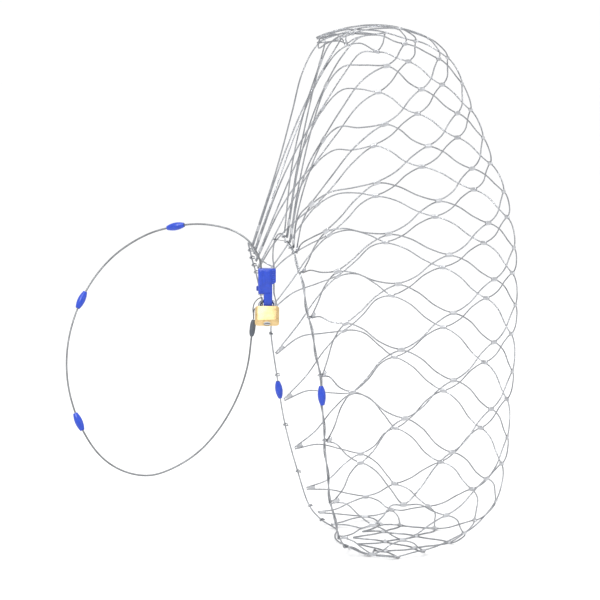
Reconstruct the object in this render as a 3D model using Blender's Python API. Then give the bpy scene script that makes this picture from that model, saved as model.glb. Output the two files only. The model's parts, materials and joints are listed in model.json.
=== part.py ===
"""Wire security net with a drawstring, locking cable, cinch and padlock (Blender 4.5, metres, +Z up).

The net stands closed round a load that is left out. X runs from the mouth of the net (-X) to its
closed side (+X), Y is its width, and the origin is on the ground under its middle.
"""
import math

import bmesh
import bpy
import numpy as np
from mathutils import Matrix, Vector

MM = 0.001
GAP = 0.3 * MM                  # between pieces that touch

# ---- net ----
NET_SHIFT = Vector((-0.0020, 0.0, 0.0))   # puts the net's own box over the origin
WIRE_RADIUS = 1.0 * MM          # one strand of the net
NET_HALF_WIDTH = 0.155          # half of the width over Y
LEVEL_FIRST, LEVEL_LAST = -8, 16    # strands run between neighbouring levels
EDGE_LEVELS, EDGE_PLACES = (-8, 3, 14, 16), (0, 0.55, 1.02, 1.15)   # levels along the outline
RING_FIRST, RING_EDGE = -2.0, 3.5   # rings counted from the mouth's rim to the outline
POINTS_PER_RING = 3
ROUNDED_LEVELS = 5              # levels over which the net narrows towards each end of the mouth
CRIMP_OFFSET = WIRE_RADIUS + 0.25 * MM  # strand's centre to the line where two strands are crimped
# middle outline of the net, from the lower end of its mouth round the closed side to the upper end
OUTLINE = [(-0.042, -0.002), (0.012, -0.008), (0.068, -0.008), (0.121, 0.006), (0.165, 0.042),
           (0.188, 0.100), (0.195, 0.181), (0.201, 0.272), (0.204, 0.363), (0.201, 0.446),
           (0.188, 0.521), (0.161, 0.589), (0.131, 0.665), (0.091, 0.741), (0.030, 0.772),
           (-0.037, 0.775), (-0.113, 0.751), (-0.165, 0.707), (-0.194, 0.647), (-0.204, 0.574),
           (-0.206, 0.506)]
# lines over both sides of the net as (x, z), one point for every second level: one ring from the
# rims (from a level below the first) and two rings from them
INNER_LINE = [(-0.030, 0.002), (-0.022, 0.003), (-0.016, 0.012), (-0.016, 0.058), (-0.034, 0.150),
              (-0.046, 0.253), (-0.056, 0.352), (-0.068, 0.426), (-0.084, 0.483), (-0.105, 0.522),
              (-0.088, 0.613), (-0.084, 0.690), (-0.092, 0.722), (-0.145, 0.690)]
MIDDLE_LINE = [(-0.010, 0.002), (0.020, 0.003), (0.028, 0.032), (0.029, 0.085), (0.030, 0.212),
               (0.024, 0.312), (0.019, 0.407), (0.005, 0.479), (-0.012, 0.552), (-0.001, 0.635),
               (0.001, 0.717), (-0.008, 0.760), (-0.095, 0.742)]
# rims of the mouth, one point for every second level, from the ground up to the gather
RIM_NEAR = [(-0.044, -0.050, 0.002), (-0.050, -0.090, 0.013), (-0.059, -0.120, 0.034),
            (-0.072, -0.130, 0.089), (-0.081, -0.130, 0.179), (-0.088, -0.125, 0.274),
            (-0.104, -0.110, 0.357), (-0.117, -0.080, 0.419), (-0.126, -0.062, 0.446),
            (-0.131, -0.057, 0.453), (-0.136, -0.051, 0.460), (-0.1405, -0.0455, 0.4665),
            (-0.145, -0.040, 0.473)]
RIM_FAR = [(-0.060, 0.050, 0.004), (-0.083, 0.090, 0.010), (-0.102, 0.120, 0.026),
           (-0.120, 0.130, 0.078), (-0.140, 0.130, 0.153), (-0.153, 0.120, 0.235),
           (-0.165, 0.100, 0.305), (-0.177, 0.060, 0.370), (-0.184, 0.050, 0.405),
           (-0.187, 0.047, 0.416), (-0.190, 0.044, 0.4275), (-0.1925, 0.041, 0.439),
           (-0.195, 0.038, 0.450)]

# ---- cables ----
DRAW_RADIUS = 1.25 * MM
LOCK_RADIUS = 1.5 * MM
EYE_RADIUS = 0.9 * MM
RIM_OFFSET = Vector((-0.0048, 0.0, 0.0))   # drawstring's centre from the rim where the strands end
STOP_LENGTH, STOP_RADIUS = 28 * MM, 6 * MM  # olive-shaped blue stops
SLEEVE_LENGTH, SLEEVE_RADIUS = 25 * MM, 4.6 * MM    # grey sleeve that closes the eye
SLEEVE_TOP, SLEEVE_BOTTOM = Vector((-0.1905, -0.0205, 0.3410)), Vector((-0.1935, -0.0238, 0.3165))
SLEEVE_SOCKET = 9 * MM          # depth of the cable in the sleeve
# locking cable, from just above the cinch round the post's place and back to the sleeve
LOCK_ROUTE = [(-0.180, -0.0198, 0.427), (-0.185, -0.017, 0.440), (-0.1935, -0.012, 0.4535),
              (-0.2055, -0.007, 0.464), (-0.223, 0.000, 0.473), (-0.2515, 0.010, 0.4795),
              (-0.281, 0.020, 0.4805), (-0.3145, 0.031, 0.475), (-0.3455, 0.040, 0.466),
              (-0.375, 0.047, 0.451), (-0.404, 0.050, 0.430), (-0.4285, 0.046, 0.404),
              (-0.449, 0.036, 0.372), (-0.463, 0.020, 0.3375), (-0.4705, 0.000, 0.300),
              (-0.4705, -0.018, 0.2615), (-0.463, -0.032, 0.223), (-0.446, -0.043, 0.180),
              (-0.422, -0.052, 0.145), (-0.398, -0.055, 0.1255), (-0.370, -0.055, 0.114),
              (-0.341, -0.051, 0.1115), (-0.308, -0.044, 0.122), (-0.275, -0.039, 0.1425),
              (-0.248, -0.035, 0.1705), (-0.226, -0.032, 0.2035), (-0.2095, -0.030, 0.239),
              (-0.199, -0.0275, 0.275)]
LOCK_STOPS = (0.182, 0.377, 0.572)      # places of the stops along the locking cable

# ---- cinch; sizes in its own frame, whose origin is the middle of the shackle hole ----
PIVOT = Vector((-0.170, -0.020, 0.369))
CINCH_HALF_DEPTH = 8 * MM
TONGUE_LEFT, TONGUE_END = -5.5 * MM, 8 * MM
BLOCK_BOTTOM, BLOCK_TOP = 11 * MM, 49 * MM
BLOCK_LEFT, BLOCK_RIGHT = -13.5 * MM, 13 * MM
NECK_RIGHT, STEP_HEIGHT = 7.5 * MM, 28.5 * MM
POCKET_DEPTH = 5 * MM           # from the split between the shells to the pocket's floor
CHANNEL_X = 10 * MM             # drawstring's channel
CINCH_TRAVEL = 12 * MM          # straight stretch of drawstring below the cinch
SOCKET_X, SOCKET_DEPTH = -9 * MM, 12 * MM   # locking cable's socket
END_SLEEVE_RADIUS, END_SLEEVE_LENGTH = 2.6 * MM, 5 * MM
CAM_PIN = (1.5 * MM, 34.5 * MM)
CAM_RADIUS, CAM_HALF_WIDTH, CAM_PIN_RADIUS = 5 * MM, 4 * MM, 1.3 * MM
CAM_TAIL, CAM_TAIL_HALF = 16 * MM, 1.6 * MM     # length below the pin, half of the width
BUTTON_HEIGHT, BUTTON_PROUD = 7 * MM, 2.8 * MM
BUTTON_Z, BUTTON_SHOULDER = 19 * MM, 1 * MM
RIVET_RADIUS = 1.4 * MM
RIVETS = [(-10 * MM, 26.5 * MM), (4 * MM, 7 * MM)]
CINCH_SPRING_X, SPRING_CEILING = 5.2 * MM, 44.5 * MM

# ---- padlock; in its own frame, upright, with its origin in the middle of the shackle's crown ----
PADLOCK_TILT = math.radians(42)     # leans out towards -Y
BODY_WIDTH, BODY_HEIGHT, BODY_DEPTH = 36 * MM, 26 * MM, 16 * MM
SHACKLE_RADIUS, SHACKLE_HALF_SPAN = 2.5 * MM, 11.5 * MM
SHACKLE_CORNER, SHACKLE_RISE = 8 * MM, 14 * MM
LONG_LEG, SHORT_LEG = 16 * MM, 8 * MM   # depth of each leg in the body
BALL_RADIUS, BALL_DEPTH, BALL_BITE = 3 * MM, 5 * MM, 1.2 * MM
BALL_TRAVEL, BODY_DROP = 1.6 * MM, 10 * MM      # at a quarter turn of the plug
CAM_NARROW = 1.9 * MM           # half width of the tail cam across its flats
PLUG_RADIUS, PLUG_LENGTH, PLUG_PROUD = 5 * MM, 15.6 * MM, 0.6 * MM
KEYWAY_WIDTH = 1.6 * MM
PIN_RADIUS, PIN_PITCH, PIN_COUNT = 1.1 * MM, 3.6 * MM, 3
PIN_BORE_WALL = 2.2 * MM

parts = []


# ---- helpers ----
def material(name, colour, roughness, metallic=0.0):
    mat = bpy.data.materials.new(name)
    mat.use_nodes = True
    shader = mat.node_tree.nodes["Principled BSDF"]
    shader.inputs["Base Color"].default_value = (*colour, 1)
    shader.inputs["Roughness"].default_value = roughness
    shader.inputs["Metallic"].default_value = metallic
    mat.diffuse_color = (*colour, 1)
    return mat


def add(name, data, finish, parent):
    """Link a mesh or curve as a named part under its parent empty."""
    obj = bpy.data.objects.new(name, data)
    bpy.context.collection.objects.link(obj)
    mat = material(name, *finish)
    if data.materials:
        data.materials[0] = mat
    else:
        data.materials.append(mat)
    obj.parent = parent
    parts.append(obj)
    return obj


def empty(name, place, parent=None, tilt=0.0):
    obj = bpy.data.objects.new(name, None)
    bpy.context.collection.objects.link(obj)
    obj.parent = parent
    obj.location = place
    obj.rotation_euler = (tilt, 0, 0)
    return obj


def to_mesh(bm, name, smooth=True):
    bmesh.ops.recalc_face_normals(bm, faces=bm.faces)
    mesh = bpy.data.meshes.new(name)
    bm.to_mesh(mesh)
    bm.free()
    if smooth:
        mesh.shade_smooth()
        mesh.set_sharp_from_angle(angle=math.radians(35))
    return mesh


def turned(name, profile, sides, axis="Z"):
    """Spin a closed profile of (radius, height) points round Z, then lay it along the given axis."""
    bm = bmesh.new()
    ring = [bm.verts.new((radius, 0, height)) for radius, height in profile]
    edges = [bm.edges.new((a, b)) for a, b in zip(ring, ring[1:])]
    if min(radius for radius, _ in profile) > 0:
        edges.append(bm.edges.new((ring[-1], ring[0])))
    bmesh.ops.spin(bm, geom=ring + edges, cent=(0, 0, 0), axis=(0, 0, 1), angle=2 * math.pi,
                   steps=sides, use_merge=True, use_duplicate=False)
    bmesh.ops.remove_doubles(bm, verts=bm.verts, dist=1e-6)
    turn = {"X": Matrix.Rotation(math.pi / 2, 4, "Y"), "Y": Matrix.Rotation(-math.pi / 2, 4, "X"),
            "Z": Matrix.Identity(4)}[axis]
    bmesh.ops.transform(bm, matrix=turn, verts=bm.verts)
    return to_mesh(bm, name)


def cylinder(name, radius, low, high, sides=16, axis="Z"):
    return turned(name, [(0, low), (radius, low), (radius, high), (0, high)], sides, axis)


def extruded(name, outline, depth, low):
    """Extrude an (x, z) outline along Y from low to low + depth."""
    bm = bmesh.new()
    face = bm.faces.new([bm.verts.new((x, low, z)) for x, z in outline])
    grown = bmesh.ops.extrude_face_region(bm, geom=[face])["geom"]
    bmesh.ops.translate(bm, verts=[v for v in grown if isinstance(v, bmesh.types.BMVert)],
                        vec=(0, depth, 0))
    return to_mesh(bm, name, smooth=False)


def box(name, low, high):
    bm = bmesh.new()
    bmesh.ops.create_cube(bm, size=1)
    middle = (Vector(low) + Vector(high)) / 2
    size = Vector(high) - Vector(low)
    bmesh.ops.transform(bm, matrix=Matrix.Translation(middle) @ Matrix.Diagonal((*size, 1)),
                        verts=bm.verts)
    return to_mesh(bm, name, smooth=False)


def cut(obj, cutter_mesh, place=(0, 0, 0), operation="DIFFERENCE"):
    """Cut a mesh out of a part, or join it on, with a Boolean whose other mesh stays in the file."""
    cutter = bpy.data.objects.new(obj.name + "_cutter", cutter_mesh)
    bpy.context.collection.objects.link(cutter)
    cutter.parent = obj.parent
    cutter.location = place
    cutter.hide_render = True
    cutter.display_type = "WIRE"
    mod = obj.modifiers.new("cut", "BOOLEAN")
    mod.operation = operation
    mod.solver = "EXACT"
    mod.object = cutter


def smooth_curve(points, count, closed=False):
    """Points evenly spaced along a smooth (centripetal) curve through the given points."""
    pts = [np.array(p, float) for p in points]
    if closed:
        pts = [pts[-1]] + pts + [pts[0], pts[1]]
    else:
        pts = [2 * pts[0] - pts[1]] + pts + [2 * pts[-1] - pts[-2]]
    fine = []
    for p0, p1, p2, p3 in zip(pts, pts[1:], pts[2:], pts[3:]):
        k0 = 0.0
        k1 = k0 + math.sqrt(np.linalg.norm(p1 - p0))
        k2 = k1 + math.sqrt(np.linalg.norm(p2 - p1))
        k3 = k2 + math.sqrt(np.linalg.norm(p3 - p2))
        for t in np.linspace(k1, k2, 24, endpoint=False):
            a1 = (k1 - t) / (k1 - k0) * p0 + (t - k0) / (k1 - k0) * p1
            a2 = (k2 - t) / (k2 - k1) * p1 + (t - k1) / (k2 - k1) * p2
            a3 = (k3 - t) / (k3 - k2) * p2 + (t - k2) / (k3 - k2) * p3
            b1 = (k2 - t) / (k2 - k0) * a1 + (t - k0) / (k2 - k0) * a2
            b2 = (k3 - t) / (k3 - k1) * a2 + (t - k1) / (k3 - k1) * a3
            fine.append((k2 - t) / (k2 - k1) * b1 + (t - k1) / (k2 - k1) * b2)
    fine.append(pts[-2])
    fine = np.array(fine)
    run = np.concatenate([[0], np.cumsum(np.linalg.norm(np.diff(fine, axis=0), axis=1))])
    stations = np.linspace(0, run[-1], count, endpoint=not closed)
    return np.column_stack([np.interp(stations, run, fine[:, i]) for i in range(fine.shape[1])])


def tube(name, points, radius, finish, parent, resolution=2, closed=False):
    curve = bpy.data.curves.new(name, "CURVE")
    curve.dimensions = "3D"
    curve.bevel_depth = radius
    curve.bevel_resolution = resolution
    curve.use_fill_caps = True
    spline = curve.splines.new("POLY")
    spline.points.add(len(points) - 1)
    for slot, point in zip(spline.points, points):
        slot.co = (*point, 1)
    spline.use_cyclic_u = closed
    return add(name, curve, finish, parent)


def spring(name, coil_radius, wire_radius, low, high, turns, parent, place, axis="Z"):
    """Compression spring, its coil round the given axis between low and high."""
    points = []
    steps = int(turns * 8)
    for i in range(steps + 1):
        angle = 2 * math.pi * i / 8
        height = low + (high - low) * i / steps
        a, b = coil_radius * math.cos(angle), coil_radius * math.sin(angle)
        points.append({"X": (height, a, b), "Z": (a, b, height)}[axis])
    obj = tube(name, points, wire_radius, STEEL, parent, resolution=0)
    obj.location = place
    return obj


# ---- finishes: colour, roughness, metallic ----
STRAND = ((0.78, 0.79, 0.80), 0.32, 1.0)
CABLE = ((0.56, 0.57, 0.58), 0.38, 1.0)
BLUE = ((0.03, 0.12, 0.55), 0.38, 0.0)
GREY = ((0.22, 0.25, 0.29), 0.5, 0.0)
BRASS = ((0.80, 0.62, 0.30), 0.30, 1.0)
STEEL = ((0.62, 0.63, 0.64), 0.28, 1.0)


# ---- net ----
def line_at(line, level, first=LEVEL_FIRST):
    """Point at a level on a line that has one point for every second level."""
    place = (level - first) / 2
    index = min(max(int(place), 0), len(line) - 2)
    a, b = np.array(line[index]), np.array(line[index + 1])
    return a + (b - a) * (place - index)


def build_net(frame):
    outline = smooth_curve(OUTLINE, 400)
    run = np.concatenate([[0], np.cumsum(np.linalg.norm(np.diff(outline, axis=0), axis=1))])

    def outline_at(level):
        place = np.interp(level, EDGE_LEVELS, EDGE_PLACES)
        return np.array([np.interp(place, run, outline[:, i]) for i in range(2)])

    def half_width(level):
        width = NET_HALF_WIDTH
        for from_end in (level - LEVEL_FIRST, LEVEL_LAST - level):
            width *= math.sqrt(1 - (1 - min((from_end + 0.55) / ROUNDED_LEVELS, 1)) ** 2)
        return width

    def surface(level, ring):
        """Point on the net: rings run over the near side, past the outline and back on the far side."""
        near = ring <= RING_EDGE
        rim = line_at(RIM_NEAR if near else RIM_FAR, level)
        inner, middle = line_at(INNER_LINE, level, LEVEL_FIRST - 1), line_at(MIDDLE_LINE, level)
        step = ring if near else 2 * RING_EDGE - ring
        if step <= 0:           # a parabola through the rim and both lines
            u = step - RING_FIRST
            x, z = rim[[0, 2]] * (u - 1) * (u - 2) / 2 - inner * u * (u - 2) + middle * u * (u - 1) / 2
        else:
            rise = math.sin(step / RING_EDGE * math.pi / 2)
            x, z = middle + (outline_at(level) - middle) * (rise, rise ** 0.8)
        share = (step - RING_FIRST) / (RING_EDGE - RING_FIRST)
        swell = 1 - (1 - min(share / 0.35, 1)) ** 2
        side = -1 if near else 1
        y = rim[1] * (1 - swell) + side * half_width(level) * math.cos(share * math.pi / 2) * swell
        return np.array([x, y, max(z, WIRE_RADIUS)])

    rings = np.arange(RING_FIRST, 2 * RING_EDGE - RING_FIRST + 0.01, 1 / POINTS_PER_RING)
    for level in range(LEVEL_FIRST, LEVEL_LAST):
        points = []
        for ring in rings:
            phase = math.cos(math.pi * (ring + level))     # 1 on the strand's own level, -1 on the next
            height = level + (1 - phase) / 2
            across = surface(height + 0.05, ring) - surface(height - 0.05, ring)
            along = surface(height, ring + 0.05) - surface(height, ring - 0.05)
            across -= along * (across @ along) / (along @ along)
            point = surface(height, ring)
            if point[2] < 3 * WIRE_RADIUS:      # strands lie flat side by side on the ground
                across[2] = 0
            points.append(point + across / np.linalg.norm(across) * CRIMP_OFFSET * phase)
        tube(f"net_wire_{level - LEVEL_FIRST + 1:02d}", points, WIRE_RADIUS, STRAND, frame, resolution=0)


# ---- cables ----
def cable_stop(name, points, share, cable_radius, finish, parent, length=STOP_LENGTH, radius=STOP_RADIUS):
    """Olive-shaped stop, bored for its cable, centred at a share of the cable's points."""
    index = int(share * (len(points) - 1))
    middle = Vector(points[index])
    direction = Vector(points[index + 1]) - Vector(points[index - 1])
    bore = cable_radius + 1.0 * MM
    half = length / 2
    mesh = turned(name, [(bore, -half), (bore + 1 * MM, -half), (radius * 0.8, -half * 0.6),
                         (radius, -half * 0.15), (radius, half * 0.15), (radius * 0.8, half * 0.6),
                         (bore + 1 * MM, half), (bore, half)], 12)
    obj = add(name, mesh, finish, parent)
    obj.location = middle
    obj.rotation_euler = direction.to_track_quat("Z", "Y").to_euler()
    return obj


def build_drawstring(frame):
    near, far = ([Vector(p) + RIM_OFFSET for p in rim] for rim in (RIM_NEAR, RIM_FAR))
    open_levels = 6             # far side: below these the drawstring, above them the gather cable
    x, y = PIVOT.x + CHANNEL_X, PIVOT.y
    low = PIVOT.z + STEP_HEIGHT - 3 * MM - CINCH_TRAVEL
    high = PIVOT.z + BLOCK_TOP
    route = [(x, y, low), (x, y, (2 * low + high) / 3), (x, y, (low + 2 * high) / 3), (x, y, high + 2 * MM),
             (-0.1615, -0.022, 0.430), (-0.1612, -0.0245, 0.444), (-0.159, -0.028, 0.459),
             (-0.1545, -0.034, 0.469)]
    route += near[::-1]
    route += [(-0.064, -0.020, 0.003), (-0.068, 0.015, 0.003)]
    route += far[:open_levels]
    route += [(-0.1665, 0.094, 0.310), (-0.160, 0.050, 0.335), (-0.155, 0.022, 0.350),
              (-0.1565, 0.001, 0.362)]
    drawstring = smooth_curve(route, 100, closed=True)
    tube("drawstring_cable", drawstring, DRAW_RADIUS, STRAND, frame, resolution=1, closed=True)
    for name, share in (("rim_stop_near", 0.284), ("rim_stop_far", 0.819)):
        cable_stop(name, drawstring, share, DRAW_RADIUS, BLUE, frame)
    # the far gather's own cable ends in a crimp beside the drawstring, just above the cinch
    route = [(x - 2 * DRAW_RADIUS - GAP, y, high + 3 * MM), (-0.168, -0.019, 0.4235),
             (-0.177, -0.012, 0.428), (-0.186, 0.001, 0.4345), (-0.194, 0.020, 0.446)]
    route += far[:open_levels:-1] + [(-0.1755, 0.095, 0.318)]
    tube("gather_cable", smooth_curve(route, 30), DRAW_RADIUS, STRAND, frame, resolution=1)


def build_locking_cable(frame):
    socket = Vector((PIVOT.x + SOCKET_X, PIVOT.y, PIVOT.z + BLOCK_TOP))
    along = (SLEEVE_BOTTOM - SLEEVE_TOP).normalized()
    end = SLEEVE_BOTTOM - along * SLEEVE_SOCKET
    route = [socket - Vector((0, 0, SOCKET_DEPTH)), socket - Vector((0, 0, SOCKET_DEPTH / 2)), socket]
    route += LOCK_ROUTE + [SLEEVE_BOTTOM + along * 3 * MM, end]
    cable = smooth_curve(route, 78)
    tube("locking_cable", cable, LOCK_RADIUS, CABLE, frame)
    for number, share in enumerate(LOCK_STOPS, 1):
        cable_stop(f"cable_stop_{number}", cable, share, LOCK_RADIUS, BLUE, frame)
    # grey sleeve: one bore for the cable below; the eye's two ends stand on its top
    bore, half = LOCK_RADIUS + 2 * GAP, SLEEVE_LENGTH / 2
    profile = [(0, -half + SLEEVE_SOCKET + GAP), (bore, -half + SLEEVE_SOCKET + GAP), (bore, -half),
               (SLEEVE_RADIUS * 0.62, -half), (SLEEVE_RADIUS * 0.95, -half * 0.7), (SLEEVE_RADIUS, 0),
               (SLEEVE_RADIUS * 0.95, half * 0.7), (SLEEVE_RADIUS * 0.7, half), (0, half)]
    sleeve = add("eye_sleeve", turned("eye_sleeve", profile, 14), GREY, frame)
    sleeve.location = (SLEEVE_TOP + SLEEVE_BOTTOM) / 2
    sleeve.rotation_euler = (-along).to_track_quat("Z", "Y").to_euler()
    # the eye goes once round the shackle's crown, on the line that the padlock swings about
    foot = SLEEVE_TOP - along * GAP * 2
    eye = [foot + Vector((0, 0.0013, 0)), (-0.1909, -0.0190, 0.3490), (-0.1914, -0.0192, 0.3570),
           (-0.1893, -0.0190, 0.3655), (-0.1840, -0.0190, 0.3718), (-0.1783, -0.0200, 0.3742),
           (-0.1776, -0.0240, 0.3718), (-0.1774, -0.0253, 0.3675), (-0.1772, -0.0230, 0.3633),
           (-0.1776, -0.0180, 0.3625), (-0.1796, -0.0145, 0.3615), (-0.1845, -0.0143, 0.3597),
           (-0.1893, -0.0160, 0.3560), (-0.1903, -0.0207, 0.3485), foot + Vector((0, -0.0013, 0))]
    tube("cable_eye", smooth_curve(eye, 40), EYE_RADIUS, CABLE, frame, resolution=1)


# ---- cinch ----
def cinch_shell(name, side, parent):
    """Half of the moulded housing; side is -1 for the front shell and 1 for the rear one."""
    corner = 1.5 * MM
    outline = [(TONGUE_LEFT, corner - TONGUE_END), (TONGUE_LEFT + corner, -TONGUE_END),
               (NECK_RIGHT - corner, -TONGUE_END), (NECK_RIGHT, corner - TONGUE_END),
               (NECK_RIGHT, STEP_HEIGHT - 3 * MM), (BLOCK_RIGHT, STEP_HEIGHT),
               (BLOCK_RIGHT, BLOCK_TOP - corner), (BLOCK_RIGHT - corner, BLOCK_TOP),
               (BLOCK_LEFT + corner, BLOCK_TOP), (BLOCK_LEFT, BLOCK_TOP - corner),
               (BLOCK_LEFT, BLOCK_BOTTOM + corner), (BLOCK_LEFT + corner, BLOCK_BOTTOM),
               (TONGUE_LEFT, BLOCK_BOTTOM)]
    split = side * GAP / 2
    outer = side * CINCH_HALF_DEPTH
    mesh = extruded(name, outline, outer - split, split)
    bm = bmesh.new()
    bm.from_mesh(mesh)
    rim = [e for e in bm.edges if all(abs(v.co.y - outer) < 1e-6 for v in e.verts)]
    bmesh.ops.bevel(bm, geom=rim, offset=1.2 * MM, segments=2, affect="EDGES", profile=0.5)
    bmesh.ops.recalc_face_normals(bm, faces=bm.faces)
    bm.to_mesh(mesh)
    bm.free()
    shell = add(name, mesh, BLUE, parent)
    pin_x, pin_z = CAM_PIN
    depth = POCKET_DEPTH
    slot = BUTTON_HEIGHT / 2 + GAP
    pocket_left = pin_x - CAM_RADIUS + 1.1 * MM
    cut(shell, box("cam_pocket", (pocket_left, -depth, pin_z - 7 * MM),
                   (CHANNEL_X, depth, pin_z + 6.2 * MM)))
    cut(shell, box("tail_pocket", (pocket_left, -depth, BUTTON_Z - slot),
                   (NECK_RIGHT - 1.6 * MM, depth, pin_z - 6 * MM)))
    cut(shell, box("button_slot", (BLOCK_LEFT - 5 * MM, -depth, BUTTON_Z - slot),
                   (pocket_left + 1 * MM, depth, BUTTON_Z + slot)))
    wide = slot + BUTTON_SHOULDER
    cut(shell, box("shoulder_slot", (BLOCK_LEFT + 3 * MM, -depth, BUTTON_Z - wide),
                   (pocket_left + 2 * MM, depth, BUTTON_Z + wide)))
    cut(shell, box("spring_pocket", (CINCH_SPRING_X - 2 * MM, -2.2 * MM, pin_z),
                   (CINCH_SPRING_X + 1.9 * MM, 2.2 * MM, SPRING_CEILING)))
    cut(shell, cylinder("channel", DRAW_RADIUS + 0.4 * MM, 10 * MM, BLOCK_TOP + 5 * MM, 12),
        (CHANNEL_X, 0, 0))
    cut(shell, cylinder("socket", LOCK_RADIUS + 0.4 * MM, BLOCK_TOP - SOCKET_DEPTH - 1 * MM,
                        BLOCK_TOP + 5 * MM, 12), (SOCKET_X, 0, 0))
    cut(shell, cylinder("end_pocket", END_SLEEVE_RADIUS + GAP,
                        BLOCK_TOP - SOCKET_DEPTH - END_SLEEVE_LENGTH - 3 * GAP,
                        BLOCK_TOP - SOCKET_DEPTH + GAP, 12), (SOCKET_X, 0, 0))
    # the crown curves down inside the hole, most at the tongue's right side
    bend = NECK_RIGHT - (SHACKLE_HALF_SPAN - SHACKLE_CORNER)
    level = math.sqrt(SHACKLE_CORNER ** 2 - bend ** 2)
    hole = SHACKLE_RADIUS * SHACKLE_CORNER / level + SHACKLE_CORNER - level + 2 * GAP
    cut(shell, cylinder("shackle_hole", hole, TONGUE_LEFT - 3 * MM, NECK_RIGHT + 3 * MM, 20, "X"))
    reach = CINCH_HALF_DEPTH + 2 * MM
    cut(shell, cylinder("pin_hole", CAM_PIN_RADIUS + GAP, -reach, reach, 12, "Y"), (pin_x, 0, pin_z))
    for x, z in RIVETS:
        cut(shell, cylinder("rivet_hole", RIVET_RADIUS + GAP, -reach, reach, 12, "Y"), (x, 0, z))


def build_cinch(parent):
    cinch_shell("cinch_front_shell", -1, parent)
    cinch_shell("cinch_rear_shell", 1, parent)
    pin_x, pin_z = CAM_PIN
    # the cam's gripping round stands a gap off the drawstring
    grip_x = CHANNEL_X - DRAW_RADIUS - GAP - CAM_RADIUS - pin_x
    left, right = -CAM_TAIL_HALF, CAM_TAIL_HALF
    start = math.asin((right - grip_x) / CAM_RADIUS) - math.pi / 2
    stop = 1.5 * math.pi - math.asin((left - grip_x) / CAM_RADIUS * -1)
    outline = [(left, -CAM_TAIL), (right, -CAM_TAIL)]
    for i in range(19):
        angle = start + (stop - start) * i / 18
        outline.append((grip_x + CAM_RADIUS * math.cos(angle), CAM_RADIUS * math.sin(angle)))
    cam_frame = empty("cam_frame", (pin_x, 0, pin_z), parent)
    cam = add("cinch_cam", extruded("cinch_cam", outline, 2 * CAM_HALF_WIDTH, -CAM_HALF_WIDTH),
              STEEL, cam_frame)
    cut(cam, cylinder("cam_bore", CAM_PIN_RADIUS + GAP, -2 * CAM_HALF_WIDTH, 2 * CAM_HALF_WIDTH, 12, "Y"))
    pin = add("cinch_cam_pin", cylinder("cinch_cam_pin", CAM_PIN_RADIUS, -CINCH_HALF_DEPTH,
                                        CINCH_HALF_DEPTH, 16, "Y"), STEEL, parent)
    pin.location = (pin_x, 0, pin_z)
    head, reach = 0.8 * MM, CINCH_HALF_DEPTH + GAP
    profile = [(0, -reach - head), (RIVET_RADIUS * 1.2, -reach - head), (RIVET_RADIUS * 1.7, -reach),
               (RIVET_RADIUS, -reach), (RIVET_RADIUS, reach), (RIVET_RADIUS * 1.7, reach),
               (RIVET_RADIUS * 1.2, reach + head), (0, reach + head)]
    for number, (x, z) in enumerate(RIVETS, 1):
        rivet = add(f"cinch_rivet_{number}", turned("cinch_rivet", profile, 12, "Y"), STEEL, parent)
        rivet.location = (x, 0, z)
    # release button: head, shoulder that keeps it in, and a nose that pushes the cam's tail
    half, shoulder = BUTTON_HEIGHT / 2, BUTTON_HEIGHT / 2 + BUTTON_SHOULDER
    head_x, neck_x, back_x = BLOCK_LEFT - BUTTON_PROUD, BLOCK_LEFT + 3 * MM + GAP, BLOCK_LEFT + 7 * MM
    nose_x = pin_x - CAM_TAIL_HALF - GAP
    outline = [(head_x, 0.8 * MM - half), (head_x + 0.8 * MM, -half), (neck_x, -half), (neck_x, -shoulder),
               (back_x, -shoulder), (back_x, -2 * MM), (nose_x, -2 * MM), (nose_x, 1.5 * MM),
               (back_x, 1.5 * MM), (back_x, shoulder), (neck_x, shoulder), (neck_x, half),
               (head_x + 0.8 * MM, half), (head_x, half - 0.8 * MM)]
    button = add("cinch_button", extruded("cinch_button", outline, 2 * CAM_HALF_WIDTH, -CAM_HALF_WIDTH),
                 BLUE, parent)
    button.location = (0, 0, BUTTON_Z)
    spring("cinch_spring", 1.3 * MM, 0.25 * MM, pin_z + CAM_RADIUS + 2 * GAP,
           SPRING_CEILING - 2 * GAP, 3, parent, (CINCH_SPRING_X, 0, 0))
    end_top = BLOCK_TOP - SOCKET_DEPTH - GAP
    end = add("cable_end_sleeve", cylinder("cable_end_sleeve", END_SLEEVE_RADIUS,
                                           end_top - END_SLEEVE_LENGTH, end_top, 12), STEEL, parent)
    end.location = (SOCKET_X, 0, 0)


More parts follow.
